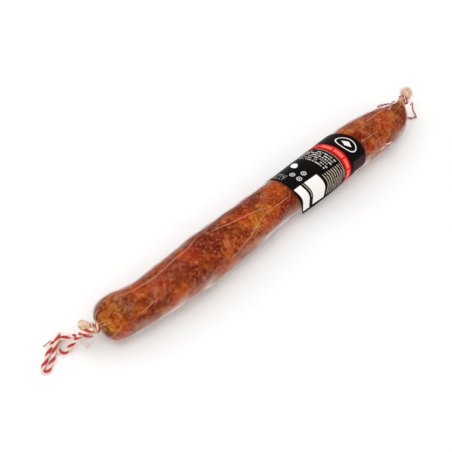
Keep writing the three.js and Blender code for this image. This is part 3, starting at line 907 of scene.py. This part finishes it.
class SAUSAGE_OT_meat(bpy.types.Operator):
    """Make the sausage itself: the meat in its gut casing, gathered at both necks, with both casing tails"""

    bl_idname = "sausage.meat"
    bl_label = "Meat and casing"

    def execute(self, context):
        sizes = context.scene.sausage_sizes
        near = tail_rings(NEAR_NECK_END, BODY.near, -1, NEAR_TAIL, 16)
        far = tail_rings(FAR_NECK_END, BODY.far, 1, FAR_TAIL, 16)
        body = BODY.rings(sizes.surface_step)
        rings = near[::-1] + body + far
        sides = 112
        rows = []
        values = {"fat": [], "pale": [], "gut": [], "crease": []}
        for index, ring in enumerate(rings):
            on_body = len(near) <= index < len(near) + len(body)
            row = []
            for side in range(sides):
                angle = math.pi - side / sides * 2 * math.pi
                place, marks = self.surface(ring, angle, on_body, sizes)
                row.append(place)
                for name, value in marks.items():
                    values[name].append(value)
            rows.append(row)
        mesh = grid_mesh("cured_meat", rows, wrap=True, caps=True)
        for name, numbers in values.items():
            set_point_values(mesh, name, numbers + numbers[:1] + numbers[-1:])
        outward_faces(mesh)
        piece = show("cured_meat", mesh, [cured_meat()])
        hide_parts("sausage")
        return {"FINISHED"}

    @staticmethod
    def surface(ring, angle, on_body, sizes):
        """A point of the casing and what its meat looks like there."""
        place = ring.point(angle)
        direction = ring.normal(angle)
        spot = place / MM
        lumps = 0.5 * noise.noise(spot / 21) + 0.34 * noise.noise(spot / 8 + Vector((31, 7, 3)))
        lumps += 0.16 * noise.noise(spot / 3.4 + Vector((5, 77, 9)))
        # Gathers run into each neck: deep beside it, and gone where the body is at its full width.
        width = ring.half_width / MM
        gather = 1 - smooth_step(9, 21, width) if on_body else 0.55
        wobble = 2.2 * noise.noise(Vector((spot.x / 14, math.cos(angle) * 2, math.sin(angle) * 2)))
        fold = (0.5 + 0.5 * math.cos(11 * angle + wobble)) ** 2
        second = (0.5 + 0.5 * math.cos(17 * angle + 1.7 * wobble + 1)) ** 2
        depth = gather * min(1.1, 0.14 * width) * (0.75 * fold + 0.35 * second)
        lump_share = smooth_step(4, 16, width)
        push = sizes.lump_height * lump_share * (lumps - 0.42) - depth * MM
        place = place + direction * push
        place.z = max(place.z, FLOOR_GAP + 0.5 * MM)
        share = ring.share
        end = max(1 - smooth_step(0.0, 0.16, share), smooth_step(0.9, 1.0, share)) if on_body else 0.0
        low_front = smooth_step(58, 105, math.degrees(angle)) if angle > 0 else 0.0
        patch = 0.5 + noise.noise(spot / 17 + Vector((2, 5, 8)))
        fat = max(
            weight * math.exp(-((spot - centre).length / reach) ** 2)
            for centre, reach, weight in FAT_PATCHES)
        marks = {
            "fat": min(1.0, 0.1 + 0.25 * end + fat),
            # pale: painted sheen low on the front side.
            "pale": 0.6 * low_front * smooth_step(0.05, 0.3, share)
            * (0.3 + 0.7 * smooth_step(0.3, 0.7, patch)),
            "gut": 0.92 if not on_body else 0.6 * (1 - smooth_step(5, 11, width)),
            # crease: painted shade in the folds of the gathers and tails.
            "crease": min(0.7, 0.6 * gather * fold * smooth_step(4, 8, width)) if on_body else 0.25 * fold,
        }
        return place, marks


class SAUSAGE_OT_film(bpy.types.Operator):
    """Make the clear shrink film, with its gathered mouths beyond both ties"""

    bl_idname = "sausage.film"
    bl_label = "Shrink film"

    def execute(self, context):
        sizes = context.scene.sausage_sizes
        sides = 80
        rings = BODY.rings(2.2 * MM)
        rows = []
        milk_and_sheen = []
        for ring in rings:
            row = []
            for side in range(sides):
                angle = math.pi - side / sides * 2 * math.pi
                place, milkiness = self.skin(ring, angle, sizes)
                row.append(place)
                milk_and_sheen.append(milkiness)
            rows.append(row)
        mesh = grid_mesh("shrink_film", rows, wrap=True)
        set_point_values(mesh, "milk_and_sheen", milk_and_sheen)
        film = shrink_film("clear_polyolefin_shrink_film", 0.0, 0.1)
        piece = show("shrink_film", mesh, [film])
        self.give_thickness(context, piece, sizes.film_thickness)
        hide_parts("clear_film")
        self.mouth(context, "near_film_mouth", NEAR_NECK_END, BODY.near, -1, NEAR_MOUTH, 0.12, film)
        self.mouth(context, "far_film_mouth", FAR_NECK_END, BODY.far, 1, FAR_MOUTH, 0.1, film)
        return {"FINISHED"}

    def mouth(self, context, name, neck_end, neck, direction, rows, milkiness, film):
        """The ruffled mouth of the film beyond a tie."""
        steps = 14
        sides = 64
        grid = []
        milk_and_sheen = []
        for step, ring in enumerate(tail_rings(neck_end, neck, direction, rows, steps)):
            opening = step / steps
            row = []
            for side in range(sides):
                angle = math.pi - side / sides * 2 * math.pi
                ruffle = opening * (0.8 * math.sin(5 * angle + 1) + 0.5 * math.sin(11 * angle + 2 * opening))
                place = ring.point(angle) + ring.normal(angle) * ruffle * MM
                place.z = max(place.z, 2 * FLOOR_GAP)
                row.append(place)
                milk_and_sheen.append(milkiness * (0.4 + abs(math.sin(6 * angle + 3 * opening))))
            grid.append(row)
        mesh = grid_mesh(name, grid, wrap=True)
        set_point_values(mesh, "milk_and_sheen", milk_and_sheen)
        piece = show(name, mesh, [film])
        self.give_thickness(context, piece, context.scene.sausage_sizes.film_thickness)

    @staticmethod
    def skin(ring, angle, sizes):
        """A point of the film: close over the top, and standing off low on both sides."""
        place = ring.point(angle)
        spot = place / MM
        width = ring.half_width / MM
        degrees = math.degrees(angle)
        body_share = smooth_step(8, 20, width)
        front = math.exp(-((degrees - 112) / 28) ** 2)
        back = math.exp(-((degrees + 118) / 26) ** 2)
        upper_back = 0.35 * math.exp(-((degrees + 66) / 20) ** 2)
        uneven = 0.75 + 0.5 * noise.noise(Vector((spot.x / 26, 3 if degrees > 0 else 9, 0)))
        stand_off = sizes.film_margin * (front + 0.8 * back + upper_back) * uneven * body_share
        over_bit = math.exp(-((spot.x - 161) / 13) ** 4 - ((degrees - 77) / 11) ** 2) * 1.6 * MM
        waves = 0.22 * noise.noise(spot / 19) * MM
        ridges = 0.14 * abs(noise.noise(Vector((spot.x / 30, spot.y / 4, spot.z / 4)))) * MM
        place = place + ring.normal(angle) * (FILM_LIFT + stand_off + waves + ridges + over_bit)
        place.z = max(place.z, FLOOR_GAP)
        # Where the film stands off it is made milky, most of all at the far end: partly film folded on
        # itself, and on the upper back and low on the front also a painted sheen of the film seen edge on.
        cloud = smooth_step(-0.1, 0.35, noise.noise(Vector((spot.x / 18, angle * 2.2, 4))))
        far_end = smooth_step(0.93, 0.99, ring.share)
        milk_and_sheen = 1.2 * upper_back * (0.2 + cloud) + 0.6 * front * (0.3 + cloud) + far_end * (0.06 + 0.4 * cloud)
        return place, milk_and_sheen * body_share

    @staticmethod
    def give_thickness(context, piece, thickness):
        """Give a sheet its wall, half on each side, and apply it."""
        wall = piece.modifiers.new("wall", "SOLIDIFY")
        wall.thickness = thickness
        wall.offset = 0.0
        evaluated = piece.evaluated_get(context.evaluated_depsgraph_get())
        mesh = bpy.data.meshes.new_from_object(evaluated)
        piece.modifiers.remove(wall)
        piece.data = mesh


class SAUSAGE_OT_label(bpy.types.Operator):
    """Make the printed band that wraps over the film"""

    bl_idname = "sausage.label"
    bl_label = "Label"

    start = 31 * MM + ROUTE_SHIFT.x * MM
    lean = 5 * MM
    bow = 10 * MM
    front = 114.0
    back = -138.0
    loose_from = 76.0
    lift = 1.35 * MM
    thickness = 0.16 * MM
    print_radius = 23.4

    def execute(self, context):
        length = context.scene.sausage_sizes.label_length
        rows_along = 60
        columns_round = 110
        rows = []
        prints = []
        for i in range(rows_along + 1):
            share = i / rows_along
            row = []
            for j in range(columns_round + 1):
                degrees = self.front + (self.back - self.front) * j / columns_round
                row.append(self.place(share, degrees, length))
                # The print is laid out in millimetres along the label and round it, from the top.
                round_mm = math.radians(degrees) * self.print_radius
                prints.append((share * length / MM, round_mm))
            rows.append(row)
        mesh = grid_mesh("band_label", rows, wrap=False)
        layer = mesh.uv_layers.new(name="print")
        for loop in mesh.loops:
            layer.data[loop.index].uv = prints[loop.vertex_index]
        piece = show("band_label", mesh, [label_print()])
        SAUSAGE_OT_film.give_thickness(context, piece, self.thickness)
        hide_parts("label")
        return {"FINISHED"}

    def place(self, share, degrees, length):
        """A point of the label. Its near front corner hangs straight instead of following the film."""
        angle = math.radians(degrees)
        bow = self.bow * (1 - math.cos(angle - math.radians(25))) * share
        x = self.start + share * length + self.lean * math.sin(angle) - bow
        hugging = BODY.point(x, degrees, self.lift)
        if degrees <= self.loose_from:
            return hugging
        ring = BODY.ring(x)
        straight = BODY.point(x, self.loose_from, self.lift)
        bend = math.radians(self.loose_from)
        run = (angle - bend) * (ring.half_width + self.lift)
        straight.y -= math.cos(bend) * run
        straight.z -= math.sin(bend) * run
        mixed = hugging.lerp(straight, 1 - smooth_step(0, 0.95, share))
        mixed.z = max(mixed.z, 2 * FLOOR_GAP)
        return mixed


class SAUSAGE_OT_creases(bpy.types.Operator):
    """Make the creases where the film has shrunk into fine raised folds"""

    bl_idname = "sausage.creases"
    bl_label = "Film creases"

    # X from the middle in millimetres, and degrees from the top towards the front.
    routes = (
        ((-189, -22), (-180, -16), (-162, -16), (-146, -13), (-134, -16),
         (-112, -20), (-101, -19), (-78, -40)),
        ((-69, -18), (-59, -12), (-39, -2), (-26, 4), (-14, 11), (1, 25)),
        ((2, 30), (12, 32), (27, 33)),
        ((1, 32), (-11, 31), (-23, 38), (-38, 50), (-54, 57), (-70, 63)),
        ((-153, 36), (-161, 36), (-176, 43), (-183, 42)),
        ((-214, 94), (-208, 59), (-202, 50), (-201, 42)),
        ((-201, 10), (-198, 19), (-197, 35)),
        ((132, 28), (156, 27)),
        ((154, -11), (192, -26)),
        ((-217, -34), (-212, -28), (-207, -22)),
        ((-217, 4), (-213, 8), (-209, 15)),
        ((-217, 30), (-213, 22), (-208, 26)),
        ((213, -8), (207, -2), (201, 2)),
        ((213, 50), (206, 62), (199, 66)),
    )

    def execute(self, context):
        sizes = context.scene.sausage_sizes
        lift = FILM_LIFT + 0.25 * MM
        paths = [curve_through(film_route(points, lift), 1.5 * MM) for points in self.routes]
        mesh = run_tree("film_creases", self.crease_tree(), paths, {
            "Width": sizes.crease_width,
            "Material": shrink_film("folded_shrink_film", 0.5, 0.8, 0xF2A884),
        })
        piece = show("film_creases", mesh, [])
        return {"FINISHED"}

    @staticmethod
    def crease_tree():
        """A rounded fold along each path, tapering almost to nothing at both ends."""
        tree = bpy.data.node_groups.new("film_crease", "GeometryNodeTree")
        for name, kind in (("Path", "NodeSocketGeometry"), ("Width", "NodeSocketFloat"),
                           ("Material", "NodeSocketMaterial")):
            tree.interface.new_socket(name=name, in_out="INPUT", socket_type=kind)
        tree.interface.new_socket(name="Mesh", in_out="OUTPUT", socket_type="NodeSocketGeometry")
        given = add_node(tree, "NodeGroupInput").outputs
        line = add_node(tree, "GeometryNodeMeshToCurve", {"Mesh": given["Path"]})
        factor = add_node(tree, "GeometryNodeSplineParameter").outputs["Factor"]
        half_turn = add_node(tree, "ShaderNodeMath", {0: factor, 1: math.pi}, operation="MULTIPLY")
        swell = add_node(tree, "ShaderNodeMath", {0: half_turn.outputs[0]}, operation="SINE")
        blunt = add_node(tree, "ShaderNodeMath", {0: swell.outputs[0], 1: 0.4}, operation="POWER")
        width = add_node(
            tree, "ShaderNodeMath", {0: blunt.outputs[0], 1: given["Width"]}, operation="MULTIPLY")
        least = add_node(
            tree, "ShaderNodeMath", {0: width.outputs[0], 1: 0.1 * MM}, operation="MAXIMUM")
        section = add_node(tree, "GeometryNodeCurvePrimitiveCircle", {"Resolution": 8, "Radius": 0.5})
        solid = add_node(
            tree, "GeometryNodeCurveToMesh",
            {"Curve": line.outputs[0], "Profile Curve": section.outputs[0], "Scale": least.outputs[0],
             "Fill Caps": True})
        real = add_node(tree, "GeometryNodeRealizeInstances", {"Geometry": solid.outputs[0]})
        dressed = add_node(
            tree, "GeometryNodeSetMaterial", {"Geometry": real.outputs[0], "Material": given["Material"]})
        add_node(tree, "NodeGroupOutput", {"Mesh": dressed.outputs[0]})
        return tree


def neck_turns(neck, direction, diameter, neck_radius, turns, start_degrees):
    """Turns of twine round a neck, away from the body."""
    radius = neck_radius + 0.3 * MM + diameter / 2
    step = diameter + 0.3 * MM
    points = []
    stops = 24
    for k in range(int(turns * stops) + 1):
        share = k / stops
        angle = math.radians(start_degrees) + share * 2 * math.pi
        points.append(Vector((
            neck.middle.x + direction * (diameter / 2 + 0.3 * MM + share * step),
            neck.middle.y - radius * math.sin(angle),
            neck.middle.z + radius * math.cos(angle))))
    return points


class SAUSAGE_OT_ties(bpy.types.Operator):
    """Make the twine pulled tight round both necks, and its short ends on the film"""

    bl_idname = "sausage.ties"
    bl_label = "Ties"

    def execute(self, context):
        sizes = context.scene.sausage_sizes
        thin = sizes.far_twine_diameter
        on_film = 1.0 * MM + thin / 2
        near = neck_turns(BODY.near, -1, sizes.tight_twine_diameter, BODY.near.half_width, 1, 0)
        far = neck_turns(BODY.far, 1, thin, BODY.far.half_width, 1.25, 30)
        # name, CAD node, slot, path, diameter, looseness, fray
        pieces = (
            ("near_tie_twine", "near_tie", "striped_twine", near, sizes.tight_twine_diameter, 0, 0),
            ("far_tie_twine", "far_tie", "thin_twine", far, thin, 0.3 * MM, 0.6 * MM),
            ("far_top_twine", "far_top_end", "thin_twine",
             curve_through(film_route(FAR_TOP_END, on_film), 1 * MM), thin, 1.0 * MM, 0.8 * MM),
            ("far_back_twine", "far_back_end", "thin_twine",
             curve_through(film_route(FAR_BACK_END, on_film), 1 * MM), thin, 1.0 * MM, 0.8 * MM),
        )
        for name, node, slot, path, diameter, looseness, fray in pieces:
            mesh, materials = twine_mesh(name, [path], diameter, looseness=looseness, fray=fray)
            piece = show(name, mesh, materials)
            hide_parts(node)
        # A cut end of twine that was caught between the meat and the film.
        caught = curve_through(film_route(CAUGHT_END, 1.2 * MM), 1 * MM)
        mesh, materials = twine_mesh(
            "caught_twine", [caught], thin, pitch=6, start=0.2, fray=0.4 * MM, fuzz=False)
        piece = show("caught_twine", mesh, materials)
        return {"FINISHED"}


class SAUSAGE_OT_hanging_loop(bpy.types.Operator):
    """Make the loop of striped twine that hangs the sausage, with its slip knot and one loose ply"""

    bl_idname = "sausage.hanging_loop"
    bl_label = "Hanging loop"

    def execute(self, context):
        sizes = context.scene.sausage_sizes
        path = curve_through(route(HANGING_LOOP), 1 * MM)
        mesh, materials = twine_mesh("hanging_loop_twine", [path], sizes.twine_diameter, start=0.25)
        loop = show("hanging_loop_twine", mesh, materials)
        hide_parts("hanging_loop")

        thread_path = curve_through(route(LOOSE_THREAD), 0.8 * MM)
        mesh, materials = twine_mesh(
            "loose_ply_thread", [thread_path], 1.2 * MM, plies=1, looseness=0.5 * MM, seed=4)
        thread = show("loose_ply_thread", mesh, materials)
        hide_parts("near_loose_thread")
        return {"FINISHED"}


class SAUSAGE_OT_far_end(bpy.types.Operator):
    """Make the far twine's third end, which hangs to the table"""

    bl_idname = "sausage.far_end"
    bl_label = "Far hanging end"

    def execute(self, context):
        thin = context.scene.sausage_sizes.far_twine_diameter
        path = curve_through(route(FAR_HANGING_END), 1 * MM)
        mesh, materials = twine_mesh(
            "far_hanging_twine", [path], thin, looseness=0.5 * MM, fray=0.3 * MM, seed=8)
        piece = show("far_hanging_twine", mesh, materials)
        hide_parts("far_hanging_end")
        return {"FINISHED"}


STEPS = (
    SAUSAGE_OT_stage,
    SAUSAGE_OT_hanging_loop,
    SAUSAGE_OT_far_end,
    SAUSAGE_OT_ties,
    SAUSAGE_OT_meat,
    SAUSAGE_OT_film,
    SAUSAGE_OT_creases,
    SAUSAGE_OT_label,
)


class SAUSAGE_PT_panel(bpy.types.Panel):
    """Lists the steps that make the sausage"""

    bl_label = "Cured sausage"
    bl_idname = "SAUSAGE_PT_panel"
    bl_space_type = "VIEW_3D"
    bl_region_type = "UI"
    bl_category = "Sausage"

    def draw(self, context):
        for group in (context.scene.sausage_sizes, context.scene.sausage_looks):
            column = self.layout.column(align=True)
            for name in group.__annotations__:
                column.prop(group, name)
        for step in STEPS:
            self.layout.operator(step.bl_idname)


CLASSES = (SausageSizes, SausageLooks, *STEPS, SAUSAGE_PT_panel)


def register():
    for item in CLASSES:
        bpy.utils.register_class(item)
    bpy.types.Scene.sausage_sizes = bpy.props.PointerProperty(type=SausageSizes)
    bpy.types.Scene.sausage_looks = bpy.props.PointerProperty(type=SausageLooks)


def unregister():
    del bpy.types.Scene.sausage_looks
    del bpy.types.Scene.sausage_sizes
    for item in reversed(CLASSES):
        bpy.utils.unregister_class(item)


def main():
    register()
    for step in STEPS:
        group, name = step.bl_idname.split(".")
        getattr(getattr(bpy.ops, group), name)()


if __name__ == "__main__":
    main()
